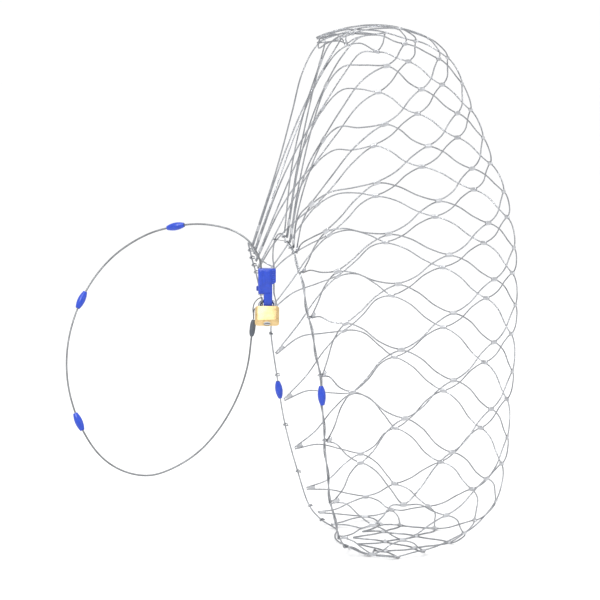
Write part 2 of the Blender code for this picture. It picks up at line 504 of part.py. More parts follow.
# ---- padlock ----
def build_padlock(parent):
    top = -SHACKLE_RISE
    bottom = top - BODY_HEIGHT
    ball_z = top - BALL_DEPTH
    ball_x = SHACKLE_HALF_SPAN - SHACKLE_RADIUS + BALL_BITE - BALL_RADIUS
    cam_wide = ball_x - BALL_RADIUS - GAP
    bore = SHACKLE_RADIUS + 0.4 * MM

    # shackle: a tube bent to the crown, with a notch in each leg for the locking ball; the notch
    # runs out along the ball's way as the turning plug lets the body drop and the balls draw in
    arc = SHACKLE_HALF_SPAN - SHACKLE_CORNER
    path = [(-SHACKLE_HALF_SPAN, 0, top - LONG_LEG)]
    for centre_x, first in ((-arc, 180), (arc, 90)):
        for i in range(7):
            angle = math.radians(first - 15 * i)
            path.append((centre_x + SHACKLE_CORNER * math.cos(angle), 0,
                         SHACKLE_CORNER * (math.sin(angle) - 1)))
    path.append((SHACKLE_HALF_SPAN, 0, top - SHORT_LEG))
    guide = tube("shackle_guide", path, SHACKLE_RADIUS, STEEL, parent, resolution=4)
    parts.remove(guide)
    bpy.context.view_layer.update()
    mesh = bpy.data.meshes.new_from_object(guide.evaluated_get(bpy.context.evaluated_depsgraph_get()))
    bpy.data.objects.remove(guide, do_unlink=True)
    mesh.shade_smooth()
    shackle = add("padlock_shackle", mesh, STEEL, parent)
    for side in (-1, 1):
        notch = bmesh.new()
        bmesh.ops.create_uvsphere(notch, u_segments=16, v_segments=11, radius=BALL_RADIUS + GAP)
        bmesh.ops.translate(notch, verts=[v for v in notch.verts if v.co.z < 0],
                            vec=(-side * BALL_TRAVEL, 0, -BODY_DROP))
        cut(shackle, to_mesh(notch, "notch"), (side * ball_x, 0, ball_z))

    # body
    bm = bmesh.new()
    bmesh.ops.create_cube(bm, size=1)
    bmesh.ops.scale(bm, vec=(BODY_WIDTH, BODY_DEPTH, BODY_HEIGHT), verts=bm.verts)
    bmesh.ops.translate(bm, vec=(0, 0, (top + bottom) / 2), verts=bm.verts)
    upright = [e for e in bm.edges if abs(e.verts[0].co.z - e.verts[1].co.z) > BODY_HEIGHT / 2]
    bmesh.ops.bevel(bm, geom=upright, offset=5 * MM, segments=4, affect="EDGES", profile=0.5)
    ends = [e for e in bm.edges if abs(e.verts[0].co.z - e.verts[1].co.z) < 1e-6]
    bmesh.ops.bevel(bm, geom=ends, offset=0.8 * MM, segments=1, affect="EDGES", profile=0.5)
    body = add("padlock_body", to_mesh(bm, "padlock_body"), BRASS, parent)
    rim = PLUG_RADIUS + 2 * MM      # raised collar round the keyway
    collar = turned("collar", [(0, bottom - 1 * MM), (rim, bottom - 1 * MM),
                               (rim + 0.8 * MM, bottom + 1 * MM), (0, bottom + 1 * MM)], 24)
    cut(body, collar, operation="UNION")
    spring_room = 6.2 * MM
    cut(body, cylinder("long_bore", bore, top - LONG_LEG - spring_room, top + 2 * MM, 16),
        (-SHACKLE_HALF_SPAN, 0, 0))
    cut(body, cylinder("short_bore", bore, top - SHORT_LEG - 2 * GAP, top + 2 * MM, 16),
        (SHACKLE_HALF_SPAN, 0, 0))
    cut(body, cylinder("ball_channel", BALL_RADIUS + GAP, 1 * MM - SHACKLE_HALF_SPAN,
                       SHACKLE_HALF_SPAN - 1 * MM, 16, "X"), (0, 0, ball_z))
    plug_top = bottom - PLUG_PROUD + PLUG_LENGTH
    cut(body, cylinder("plug_bore", PLUG_RADIUS + GAP, bottom - 2 * MM, plug_top + GAP, 24))
    cut(body, cylinder("cam_chamber", cam_wide + 0.4 * MM, plug_top - 1 * MM, ball_z + 3.4 * MM, 20))

    plug = add("padlock_plug", cylinder("padlock_plug", PLUG_RADIUS, bottom - PLUG_PROUD, plug_top, 24),
               STEEL, parent)
    cut(plug, box("keyway", (-3.6 * MM, -KEYWAY_WIDTH / 2, bottom - 2 * MM),
                  (4.2 * MM, KEYWAY_WIDTH / 2, plug_top - 2.4 * MM)))
    bm = bmesh.new()
    bmesh.ops.create_cone(bm, cap_ends=True, segments=20, radius1=1, radius2=1, depth=1)
    height = ball_z + 2.8 * MM - plug_top - GAP
    bmesh.ops.scale(bm, vec=(cam_wide, CAM_NARROW, height), verts=bm.verts)
    bmesh.ops.translate(bm, vec=(0, 0, plug_top + GAP + height / 2), verts=bm.verts)
    add("padlock_tail_cam", to_mesh(bm, "padlock_tail_cam"), BRASS, parent)
    for side, name in ((-1, "left"), (1, "right")):
        bm = bmesh.new()
        bmesh.ops.create_uvsphere(bm, u_segments=12, v_segments=8, radius=BALL_RADIUS)
        ball = add(f"locking_ball_{name}", to_mesh(bm, "locking_ball"), STEEL, parent)
        ball.location = (side * ball_x, 0, ball_z)
    spring("shackle_spring", SHACKLE_RADIUS - 0.6 * MM, 0.3 * MM, top - LONG_LEG - spring_room + 0.5 * MM,
           top - LONG_LEG - 0.6 * MM, 4, parent, (-SHACKLE_HALF_SPAN, 0, 0))

    # pin stacks across the body, from the keyway out to blind ends below the side wall
    wall = BODY_WIDTH / 2 - PIN_BORE_WALL
    for number in range(1, PIN_COUNT + 1):
        place = (0, 0, plug_top - 1 * MM - number * PIN_PITCH)
        hole = cylinder("pin_bore", PIN_RADIUS + GAP, 1 * MM, wall, 14, "X")
        cut(plug, hole, place)
        cut(body, hole.copy(), place)
        spans = {"key_pin": (1.6 * MM, PLUG_RADIUS - GAP), "driver_pin": (PLUG_RADIUS + 2 * GAP, 9.6 * MM)}
        for name, (low, high) in spans.items():
            piece = add(f"{name}_{number}", cylinder(name, PIN_RADIUS, low, high, 12, "X"), BRASS, parent)
            piece.location = place
        spring(f"pin_spring_{number}", PIN_RADIUS - 0.3 * MM, 0.15 * MM, 9.9 * MM, wall - 2 * GAP, 3,
               parent, place, axis="X")


# ---- run ----
for leftover in list(bpy.data.objects):
    bpy.data.objects.remove(leftover, do_unlink=True)
frame = empty("frame", NET_SHIFT)
build_net(frame)
build_drawstring(frame)
build_locking_cable(frame)
cinch_frame = empty("cinch_frame", PIVOT, frame)
build_cinch(cinch_frame)
build_padlock(empty("padlock_frame", (0, 0, 0), cinch_frame, -PADLOCK_TILT))
print("built", len(parts), "parts")
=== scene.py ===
# Wire security net with its drawstring, locking cable, cinch and padlock (Blender 4.5, metres, +Z up)
import json
import math

import bmesh
import bpy
import numpy as np
from mathutils import Matrix, Vector
from mathutils.kdtree import KDTree

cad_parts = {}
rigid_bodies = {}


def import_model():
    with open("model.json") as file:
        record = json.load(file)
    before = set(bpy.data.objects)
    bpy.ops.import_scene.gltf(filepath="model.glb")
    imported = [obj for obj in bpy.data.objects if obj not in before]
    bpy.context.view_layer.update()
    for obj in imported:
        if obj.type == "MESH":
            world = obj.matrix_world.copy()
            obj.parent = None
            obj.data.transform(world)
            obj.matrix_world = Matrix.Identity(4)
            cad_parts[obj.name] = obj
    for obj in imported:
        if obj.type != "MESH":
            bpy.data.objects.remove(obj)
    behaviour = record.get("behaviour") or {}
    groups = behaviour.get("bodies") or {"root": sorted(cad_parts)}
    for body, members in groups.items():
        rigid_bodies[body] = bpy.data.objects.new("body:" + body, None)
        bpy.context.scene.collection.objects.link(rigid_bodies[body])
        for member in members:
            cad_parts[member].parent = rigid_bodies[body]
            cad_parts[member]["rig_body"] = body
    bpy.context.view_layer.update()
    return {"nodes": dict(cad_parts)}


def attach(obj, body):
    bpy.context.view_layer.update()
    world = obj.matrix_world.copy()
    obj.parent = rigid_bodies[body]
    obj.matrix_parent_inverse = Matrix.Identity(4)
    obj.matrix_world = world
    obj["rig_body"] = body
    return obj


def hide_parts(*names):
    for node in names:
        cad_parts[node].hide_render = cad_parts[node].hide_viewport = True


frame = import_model()


mm = 0.001


# one socket of a node tree; sums and products of it add Math nodes
class Link:
    def __init__(self, paint, socket):
        self.paint = paint
        self.socket = socket

    def math(self, operation, other, swapped=False):
        pair = (other, self) if swapped else (self, other)
        return self.paint.add("ShaderNodeMath", {"operation": operation}, {0: pair[0], 1: pair[1]})

    def __add__(self, other):
        return self.math("ADD", other)

    def __sub__(self, other):
        return self.math("SUBTRACT", other)

    def __mul__(self, other):
        return self.math("MULTIPLY", other)

    def __rsub__(self, other):
        return self.math("SUBTRACT", other, swapped=True)

    __radd__ = __add__
    __rmul__ = __mul__


# a Principled material and the nodes that feed it
class Paint:
    def __init__(self, name, colour, roughness, metallic=0.0, **constants):
        self.material = bpy.data.materials.new(name)
        self.material.use_nodes = True
        self.tree = self.material.node_tree
        self.shader = self.tree.nodes["Principled BSDF"]
        solid = (*colour, 1)
        settings = {"Base Color": solid, "Roughness": roughness, "Metallic": metallic, **constants}
        for socketName, value in settings.items():
            self.shader.inputs[socketName].default_value = value
        self.material.diffuse_color = solid

    # any node, by its type, its settings and what its sockets get
    def add(self, kind, settings=None, inputs=None, output=0):
        node = self.tree.nodes.new(kind)
        for key, value in (settings or {}).items():
            setattr(node, key, value)
        for key, value in (inputs or {}).items():
            if isinstance(value, Link):
                self.tree.links.new(value.socket, node.inputs[key])
            else:
                node.inputs[key].default_value = value
        return Link(self, node.outputs[output])

    def feed(self, socketName, link):
        self.tree.links.new(link.socket, self.shader.inputs[socketName])

    # object coordinates, stretched and turned
    def place(self, scale=(1, 1, 1), turn=(0, 0, 0)):
        coordinates = self.add("ShaderNodeTexCoord", output="Object")
        turned = self.add("ShaderNodeMapping", inputs={0: coordinates, "Rotation": turn})
        return self.add("ShaderNodeVectorMath", {"operation": "MULTIPLY"}, {0: turned, 1: scale})

    def noise(self, vector, scale, detail=3.0, roughness=0.55):
        return self.add("ShaderNodeTexNoise", inputs={"Vector": vector, "Scale": scale, "Detail": detail,
                                                      "Roughness": roughness})

    # a Mix node's sockets 6 and 7 are its two colours and output 2 is the colour it gives
    def blendColours(self, factor, first, second):
        node = self.tree.nodes.new("ShaderNodeMix")
        node.data_type = "RGBA"
        self.tree.links.new(factor.socket, node.inputs["Factor"])
        for socket, value in ((node.inputs[6], first), (node.inputs[7], second)):
            if isinstance(value, Link):
                self.tree.links.new(value.socket, socket)
            else:
                socket.default_value = (*value, 1)
        return Link(self, node.outputs[2])

    def ramp(self, factor, low, high):
        return self.add("ShaderNodeMapRange", {"clamp": True}, {0: factor, 1: low, 2: high})

    def bump(self, height, strength, distance):
        self.feed("Normal", self.add("ShaderNodeBump", inputs={"Height": height, "Strength": strength,
                                                               "Distance": distance}))


# drawn stainless wire, bright with duller patches and fine lengthwise scratches
def strandMetal(name, colour, dull, roughness):
    paint = Paint(name, colour, roughness, 1.0)
    patches = paint.noise(paint.place(), 55)
    fine = paint.noise(paint.place(), 2600, detail=2)
    paint.feed("Base Color", paint.blendColours(paint.ramp(patches, 0.38, 0.7), colour, dull))
    paint.feed("Roughness", patches * 0.22 + fine * 0.12 + (roughness - 0.14))
    paint.bump(fine, 0.25, 0.05 * mm)
    return paint.material


# glossy moulded plastic: flow clouds in the colour, fine orange peel, rubbed spots
def mouldedPlastic(name, colour, rubbed, roughness, peel=0.1, coat=0.25):
    paint = Paint(name, colour, roughness, **{"Coat Roughness": 0.15, "Coat Weight": coat})
    clouds = paint.noise(paint.place(), 140)
    grain = paint.noise(paint.place(), 1900, detail=2)
    scuffs = paint.ramp(paint.noise(paint.place((1, 1, 0.35)), 420, detail=6, roughness=0.7), 0.57, 0.74)
    shaded = paint.blendColours(paint.ramp(clouds, 0.3, 0.75), tuple(0.78 * c for c in colour), colour)
    paint.feed("Base Color", paint.blendColours(scuffs * 0.45, shaded, rubbed))
    paint.feed("Roughness", scuffs * 0.22 + grain * 0.12 + (roughness - 0.06))
    paint.bump(grain * 0.6 + scuffs * 0.4, peel, 0.12 * mm)
    return paint.material


# metal with a brushed grain along one direction, tarnish clouds and small dents
def brushedMetal(name, colour, tarnish, roughness, stretch, turn=(0, 0, 0), grainScale=900):
    paint = Paint(name, colour, roughness, 1.0)
    grain = paint.noise(paint.place(stretch, turn), grainScale, detail=4, roughness=0.65)
    clouds = paint.noise(paint.place(), 90, detail=4)
    dents = paint.ramp(paint.noise(paint.place(), 380, detail=1), 0.62, 0.8)
    paint.feed("Base Color", paint.blendColours(paint.ramp(clouds, 0.42, 0.74) * 0.7, colour, tarnish))
    paint.feed("Roughness", grain * 0.18 + clouds * 0.16 + (roughness - 0.16))
    paint.bump(grain - dents * 0.3, 0.16, 0.05 * mm)
    return paint.material


lean = math.radians(42)     # the padlock's lean
finishes = {
    "strand": strandMetal("netStrand", (0.40, 0.41, 0.43), (0.24, 0.25, 0.27), 0.27),
    "ferrule": brushedMetal("ferruleAlloy", (0.52, 0.53, 0.55), (0.34, 0.35, 0.37), 0.30, (1, 1, 0.3)),
    "cable": strandMetal("lockingCableSteel", (0.27, 0.28, 0.29), (0.17, 0.175, 0.185), 0.33),
    "blue": mouldedPlastic("bluePlastic", (0.006, 0.052, 0.52), (0.03, 0.13, 0.64), 0.30),
    "button": mouldedPlastic("buttonPlastic", (0.005, 0.036, 0.38), (0.03, 0.10, 0.52), 0.34),
    "sleeve": mouldedPlastic("sleevePlastic", (0.085, 0.10, 0.125), (0.22, 0.24, 0.27), 0.52, 0.3, 0.0),
    "brass": brushedMetal("brass", (0.76, 0.56, 0.28), (0.50, 0.34, 0.14), 0.27, (1, 1, 0.06), (lean, 0, 0)),
    "brassInner": brushedMetal("brassPins", (0.78, 0.58, 0.28), (0.6, 0.42, 0.2), 0.3, (0.2, 1, 1)),
    "shackle": brushedMetal("shackleSteel", (0.40, 0.41, 0.43), (0.24, 0.25, 0.27), 0.26, (0.1, 1, 1)),
    "steel": brushedMetal("steel", (0.55, 0.56, 0.58), (0.38, 0.39, 0.41), 0.32, (1, 1, 0.2)),
}
print("materials made")


# evenly spaced points along a smooth (centripetal) curve through the given points
def smoothCurve(points, count, closed=False, between=24):
    pts = [np.array(p, float) for p in points]
    if closed:
        pts = [pts[-1]] + pts + [pts[0], pts[1]]
    else:
        pts = [2 * pts[0] - pts[1]] + pts + [2 * pts[-1] - pts[-2]]
    fine = []
    for p0, p1, p2, p3 in zip(pts, pts[1:], pts[2:], pts[3:]):
        k1 = math.sqrt(np.linalg.norm(p1 - p0))
        k2 = k1 + math.sqrt(np.linalg.norm(p2 - p1))
        k3 = k2 + math.sqrt(np.linalg.norm(p3 - p2))
        for t in np.linspace(k1, k2, between, endpoint=False):
            a1 = (k1 - t) / k1 * p0 + t / k1 * p1
            a2 = (k2 - t) / (k2 - k1) * p1 + (t - k1) / (k2 - k1) * p2
            a3 = (k3 - t) / (k3 - k2) * p2 + (t - k2) / (k3 - k2) * p3
            b1 = (k2 - t) / k2 * a1 + t / k2 * a2
            b2 = (k3 - t) / (k3 - k1) * a2 + (t - k1) / (k3 - k1) * a3
            fine.append((k2 - t) / (k2 - k1) * b1 + (t - k1) / (k2 - k1) * b2)
    fine.append(pts[-2])
    fine = np.array(fine)
    run = runLength(fine)
    stations = np.linspace(0, run[-1], count, endpoint=not closed)
    return np.column_stack([np.interp(stations, run, fine[:, i]) for i in range(fine.shape[1])])


# how far along the line each of its points is
def runLength(points):
    return np.concatenate([[0], np.cumsum(np.linalg.norm(np.diff(points, axis=0), axis=1))])


def meshFrom(bm, name):
    mesh = bpy.data.meshes.new(name)
    bm.to_mesh(mesh)
    bm.free()
    return mesh


def linked(name, data, finish):
    obj = bpy.data.objects.new(name, data)
    bpy.context.scene.collection.objects.link(obj)
    data.materials.clear()
    data.materials.append(finishes[finish])
    return obj


def finishMesh(mesh, angle=35):
    mesh.shade_smooth()
    mesh.set_sharp_from_angle(angle=math.radians(angle))
    return mesh


# a laid rope: a lobed section drawn along the path while it turns, one turn for each lay length;
# a closed one makes a whole number of turns, so that its ends meet
def ropeMesh(name, path, radius, layLength, lobes=6, groove=0.2, closed=False):
    section = bpy.data.curves.new(name + "Section", "CURVE")
    outline = section.splines.new("POLY")
    steps = lobes * 3
    outline.points.add(steps - 1)
    outline.use_cyclic_u = True
    for i, point in enumerate(outline.points):
        angle = 2 * math.pi * i / steps
        reach = radius * (1 - groove * (1 - abs(math.sin(lobes * angle / 2))))
        point.co = (reach * math.cos(angle), reach * math.sin(angle), 0, 1)
    sectionObject = bpy.data.objects.new(name + "Section", section)
    guide = bpy.data.curves.new(name + "Guide", "CURVE")
    guide.dimensions = "3D"
    guide.bevel_mode = "OBJECT"
    guide.bevel_object = sectionObject
    guide.use_fill_caps = True
    spline = guide.splines.new("POLY")
    spline.points.add(len(path) - 1)
    spline.use_cyclic_u = closed
    run = runLength(np.array(path))
    whole = run[-1] + (np.linalg.norm(np.array(path[0]) - path[-1]) if closed else 0)
    turns = round(whole / layLength) if closed else whole / layLength
    for point, place, distance in zip(spline.points, path, run):
        point.co = (*place, 1)
        point.tilt = 2 * math.pi * turns * distance / whole
    guideObject = bpy.data.objects.new(name + "Guide", guide)
    for obj in (sectionObject, guideObject):
        bpy.context.scene.collection.objects.link(obj)
    bpy.context.view_layer.update()
    mesh = bpy.data.meshes.new_from_object(guideObject.evaluated_get(bpy.context.evaluated_depsgraph_get()))
    mesh.name = name
    for obj in (sectionObject, guideObject):
        bpy.data.objects.remove(obj)
    bm = bmesh.new()
    bm.from_mesh(mesh)
    bmesh.ops.remove_doubles(bm, verts=bm.verts, dist=0.01 * mm)
    bmesh.ops.recalc_face_normals(bm, faces=bm.faces)
    bm.to_mesh(mesh)
    bm.free()
    return finishMesh(mesh, 60)


def joinMeshes(name, meshes):
    bm = bmesh.new()
    for mesh in meshes:
        bm.from_mesh(mesh)
        bpy.data.meshes.remove(mesh)
    return finishMesh(meshFrom(bm, name), 60)


# a profile of (radius, height) points spun round Z; one that starts off the axis is closed into a ring
def turnedMesh(name, profile, sides, angle=35):
    bm = bmesh.new()
    ring = [bm.verts.new((radius, 0, height)) for radius, height in profile]
    edges = [bm.edges.new(pair) for pair in zip(ring, ring[1:])]
    if profile[0][0] > 0:
        edges.append(bm.edges.new((ring[-1], ring[0])))
    bmesh.ops.spin(bm, geom=ring + edges, cent=(0, 0, 0), axis=(0, 0, 1), angle=2 * math.pi, steps=sides,
                   use_merge=True, use_duplicate=False)
    bmesh.ops.remove_doubles(bm, verts=bm.verts, dist=0.001 * mm)
    bmesh.ops.recalc_face_normals(bm, faces=bm.faces)
    return finishMesh(meshFrom(bm, name), angle)


# the CAD node's own shape with its sharp edges rounded, or only smoothed when the width is 0
def softened(node, finish, width, slotName, segments=3):
    bm = bmesh.new()
    bm.from_mesh(frame["nodes"][node].data)
    bmesh.ops.remove_doubles(bm, verts=bm.verts, dist=0.005 * mm)
    bmesh.ops.dissolve_limit(bm, angle_limit=math.radians(1), verts=bm.verts, edges=bm.edges)
    obj = linked(node + "_finish", finishMesh(meshFrom(bm, node + "_soft")), finish)
    if width:
        bevel = obj.modifiers.new("round", "BEVEL")
        bevel.width = width
        bevel.segments = segments
        bevel.limit_method = "ANGLE"
        bevel.angle_limit = math.radians(40)
        bevel.harden_normals = True
    settle(obj, frame["nodes"][node]["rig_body"], slotName, node)


# gives the piece its body and hides the CAD nodes that it stands in for
def settle(obj, body, slotName, *nodes):
    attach(obj, body)
    if nodes:
        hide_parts(*nodes)
    return obj


netShift = Vector((-0.002, 0, 0))       # the net's own places, moved over the origin
net = {
    "wireRadius": 1.0 * mm, "ropeRadius": 1.2 * mm, "crimpOffset": 1.25 * mm, "layLength": 15 * mm,
    "step": 2.6 * mm, "pointsPerRing": 3,
    "levels": (-8, 16), "firstRing": -2.0, "edgeRing": 3.5,     # the edge ring lies on the outline
    "edgeLevels": (-8, 3, 14, 16), "edgePlaces": (0, 0.55, 1.02, 1.15),     # distance along the outline
    "halfWidth": 0.155, "roundedLevels": 5, "endLevels": 0.55,      # how the foot and top round off
    "swellShare": 0.35, "riseBend": 0.8, "outlinePoints": 400,
    "outline": [(-0.042, -0.002), (0.012, -0.008), (0.068, -0.008), (0.121, 0.006), (0.165, 0.042),
                (0.188, 0.100), (0.195, 0.181), (0.201, 0.272), (0.204, 0.363), (0.201, 0.446),
                (0.188, 0.521), (0.161, 0.589), (0.131, 0.665), (0.091, 0.741), (0.030, 0.772),
                (-0.037, 0.775), (-0.113, 0.751), (-0.165, 0.707), (-0.194, 0.647), (-0.204, 0.574),
                (-0.206, 0.506)],
    "inner": [(-0.030, 0.002), (-0.022, 0.003), (-0.016, 0.012), (-0.016, 0.058), (-0.034, 0.150),
              (-0.046, 0.253), (-0.056, 0.352), (-0.068, 0.426), (-0.084, 0.483), (-0.105, 0.522),
              (-0.088, 0.613), (-0.084, 0.690), (-0.092, 0.722), (-0.145, 0.690)],
    "middle": [(-0.010, 0.002), (0.020, 0.003), (0.028, 0.032), (0.029, 0.085), (0.030, 0.212),
               (0.024, 0.312), (0.019, 0.407), (0.005, 0.479), (-0.012, 0.552), (-0.001, 0.635),
               (0.001, 0.717), (-0.008, 0.760), (-0.095, 0.742)],
    "nearRim": [(-0.044, -0.050, 0.002), (-0.050, -0.090, 0.013), (-0.059, -0.120, 0.034),
                (-0.072, -0.130, 0.089), (-0.081, -0.130, 0.179), (-0.088, -0.125, 0.274),
                (-0.104, -0.110, 0.357), (-0.117, -0.080, 0.419), (-0.126, -0.062, 0.446),
                (-0.131, -0.057, 0.453), (-0.136, -0.051, 0.460), (-0.1405, -0.0455, 0.4665),
                (-0.145, -0.040, 0.473)],
    "farRim": [(-0.060, 0.050, 0.004), (-0.083, 0.090, 0.010), (-0.102, 0.120, 0.026),
               (-0.120, 0.130, 0.078), (-0.140, 0.130, 0.153), (-0.153, 0.120, 0.235),
               (-0.165, 0.100, 0.305), (-0.177, 0.060, 0.370), (-0.184, 0.050, 0.405),
               (-0.187, 0.047, 0.416), (-0.190, 0.044, 0.4275), (-0.1925, 0.041, 0.439),
               (-0.195, 0.038, 0.450)],
}
outline = smoothCurve(net["outline"], net["outlinePoints"])
outlineRun = runLength(outline)


# a line's point at a level; its points are two levels apart
def lineAt(line, level, first=net["levels"][0]):
    place = (level - first) / 2
    index = min(max(int(place), 0), len(line) - 2)
    a, b = np.array(line[index]), np.array(line[index + 1])
    return a + (b - a) * (place - index)


# half the net's width at a level, rounded off towards both ends
def halfWidth(level):
    width = net["halfWidth"]
    for fromEnd in (level - net["levels"][0], net["levels"][1] - level):
        width *= math.sqrt(1 - (1 - min((fromEnd + net["endLevels"]) / net["roundedLevels"], 1)) ** 2)
    return width


# a point on the net: rings run over the near side, past the outline and back on the far side
def netPoint(level, ring):
    near = ring <= net["edgeRing"]
    rim = lineAt(net["nearRim" if near else "farRim"], level)
    inner = lineAt(net["inner"], level, net["levels"][0] - 1)
    middle = lineAt(net["middle"], level)
    step = ring if near else 2 * net["edgeRing"] - ring
    if step <= 0:
        u = step - net["firstRing"]
        x, z = rim[[0, 2]] * (u - 1) * (u - 2) / 2 - inner * u * (u - 2) + middle * u * (u - 1) / 2
    else:
        rise = math.sin(step / net["edgeRing"] * math.pi / 2)
        place = np.interp(level, net["edgeLevels"], net["edgePlaces"])
        edge = np.array([np.interp(place, outlineRun, outline[:, i]) for i in range(2)])
        x, z = middle + (edge - middle) * (rise, rise ** net["riseBend"])
    share = (step - net["firstRing"]) / (net["edgeRing"] - net["firstRing"])
    swell = 1 - (1 - min(share / net["swellShare"], 1)) ** 2
    side = -1 if near else 1
    y = rim[1] * (1 - swell) + side * halfWidth(level) * math.cos(share * math.pi / 2) * swell
    return np.array([x, y, max(z, net["wireRadius"])])


# directions along a strand and across it, in the net's surface
def netDirections(level, ring):
    across = netPoint(level + 0.05, ring) - netPoint(level - 0.05, ring)
    along = netPoint(level, ring + 0.05) - netPoint(level, ring - 0.05)
    across -= along * (across @ along) / (along @ along)
    if netPoint(level, ring)[2] < 3 * net["wireRadius"]:
        across[2] = 0
    return along / np.linalg.norm(along), across / np.linalg.norm(across)


# a zigzag strand: it meets the one below at one ring and the one above at the next
def strandPoints(level):
    rings = np.arange(net["firstRing"], 2 * net["edgeRing"] - net["firstRing"] + 0.01,
                      1 / net["pointsPerRing"])
    points = []
    for ring in rings:
        phase = math.cos(math.pi * (ring + level))
        height = level + (1 - phase) / 2
        across = netDirections(height, ring)[1]
        points.append(netPoint(height, ring) + across * net["crimpOffset"] * phase + netShift)
    return points


def buildStrands():
    first, last = net["levels"]
    for level in range(first, last):
        points = strandPoints(level)
        path = smoothCurve(points, int(runLength(points)[-1] / net["step"]))
        path[:, 2] = np.maximum(path[:, 2], net["ropeRadius"])
        number = f"{level - first + 1:02d}"
        mesh = ropeMesh(f"strand_{number}", path, net["ropeRadius"], net["layLength"], lobes=4)
        settle(linked(f"strand_{number}", mesh, "strand"), "root", "net_strand", f"net_wire_{number}")


ferrule = {"length": 10.5 * mm, "wide": 3.1 * mm, "thick": 1.75 * mm, "press": 0.86, "spread": 0.96,
           "sides": 12, "cuts": 3, "lip": 0.35 * mm, "endInset": 0.07}


# an oval crimp sleeve for two strands side by side, pressed at its waist
def ferruleMesh():
    bm = bmesh.new()
    half = ferrule["length"] / 2
    bmesh.ops.create_cone(bm, cap_ends=True, segments=ferrule["sides"], radius1=1, radius2=1,
                          depth=ferrule["length"])
    sides = [e for e in bm.edges if abs(e.verts[0].co.z - e.verts[1].co.z) > half]
    bmesh.ops.subdivide_edges(bm, edges=sides, cuts=ferrule["cuts"])
    for v in bm.verts:
        waist = 1 - (1 - ferrule["press"]) * (1 - (v.co.z / half) ** 2)
        v.co.x *= ferrule["wide"] * (2 - waist) * ferrule["spread"]
        v.co.y *= ferrule["thick"] * waist
    ends = [e for e in bm.edges if all(abs(abs(v.co.z) - half) < 1e-7 for v in e.verts)]
    bmesh.ops.bevel(bm, geom=ends, offset=ferrule["lip"], segments=1, affect="EDGES", profile=0.5,
                    material=-1)
    return meshFrom(bm, "ferrule")


# one at each crossing, which is at every second ring of a level; the end ones are set in a little
def buildFerrules():
    template = ferruleMesh()
    bm = bmesh.new()
    first, last = net["levels"]
    lastRing = int(2 * net["edgeRing"] - net["firstRing"])
    for level in range(first + 1, last):
        for ring in range(int(net["firstRing"]), lastRing + 1):
            if (level + ring) % 2:
                continue
            ring += ferrule["endInset"] * ((ring == net["firstRing"]) - (ring == lastRing))
            along, across = netDirections(level, ring)
            place = netPoint(level, ring)
            place[2] = max(place[2], ferrule["thick"])
            start = len(bm.verts)
            bm.from_mesh(template)
            bm.verts.ensure_lookup_table()
            turn = Matrix((across, np.cross(along, across), along)).transposed().to_4x4()
            bmesh.ops.transform(bm, verts=bm.verts[start:],
                                matrix=Matrix.Translation(Vector(place) + netShift) @ turn)
    bpy.data.meshes.remove(template)
    mesh = finishMesh(meshFrom(bm, "ferrules"), 45)
    settle(linked("ferrules", mesh, "ferrule"), "root", "net_strand")


cinch = {"pivot": Vector((-0.170, -0.020, 0.369)), "channelX": 10 * mm, "top": 49 * mm, "step": 28.5 * mm,
         "travel": 12 * mm, "socketX": -9 * mm, "socketDepth": 12 * mm}
cables = {"lay": 18 * mm, "step": 2.4 * mm}
drawstring = {
    "radius": 1.25 * mm, "rimOffset": (-0.0048, 0, 0), "openLevels": 6, "points": 100, "gatherPoints": 30,
    "below": 3 * mm, "above": 2 * mm, "gatherAbove": 3 * mm, "gap": 0.3 * mm,   # past the cinch, and apart
    "straightBelow": 2 * mm, "straightAbove": 1 * mm, "near": 3 * mm,
    "stops": (("rim_stop_near", 0.284), ("rim_stop_far", 0.819)),
    "hump": [(-0.1615, -0.022, 0.430), (-0.1612, -0.0245, 0.444), (-0.159, -0.028, 0.459),
             (-0.1545, -0.034, 0.469)],
    "foot": [(-0.064, -0.020, 0.003), (-0.068, 0.015, 0.003)],
    "back": [(-0.1665, 0.094, 0.310), (-0.160, 0.050, 0.335), (-0.155, 0.022, 0.350),
             (-0.1565, 0.001, 0.362)],
    "gatherStart": [(-0.168, -0.019, 0.4235), (-0.177, -0.012, 0.428), (-0.186, 0.001, 0.4345),
                    (-0.194, 0.020, 0.446)],
    "gatherEnd": (-0.1755, 0.095, 0.318),
}
lockingCable = {
    "radius": 1.5 * mm, "points": 78, "stops": (0.182, 0.377, 0.572),
    "loop": [(-0.180, -0.0198, 0.427), (-0.185, -0.017, 0.440), (-0.1935, -0.012, 0.4535),
             (-0.2055, -0.007, 0.464), (-0.223, 0.000, 0.473), (-0.2515, 0.010, 0.4795),
             (-0.281, 0.020, 0.4805), (-0.3145, 0.031, 0.475), (-0.3455, 0.040, 0.466),
             (-0.375, 0.047, 0.451), (-0.404, 0.050, 0.430), (-0.4285, 0.046, 0.404),
             (-0.449, 0.036, 0.372), (-0.463, 0.020, 0.3375), (-0.4705, 0.000, 0.300),
             (-0.4705, -0.018, 0.2615), (-0.463, -0.032, 0.223), (-0.446, -0.043, 0.180),
             (-0.422, -0.052, 0.145), (-0.398, -0.055, 0.1255), (-0.370, -0.055, 0.114),
             (-0.341, -0.051, 0.1115), (-0.308, -0.044, 0.122), (-0.275, -0.039, 0.1425),
             (-0.248, -0.035, 0.1705), (-0.226, -0.032, 0.2035), (-0.2095, -0.030, 0.239),
             (-0.199, -0.0275, 0.275)],
}


# from the net's own places to the frame's
def shifted(points):
    return [np.array(p, float) + netShift for p in points]


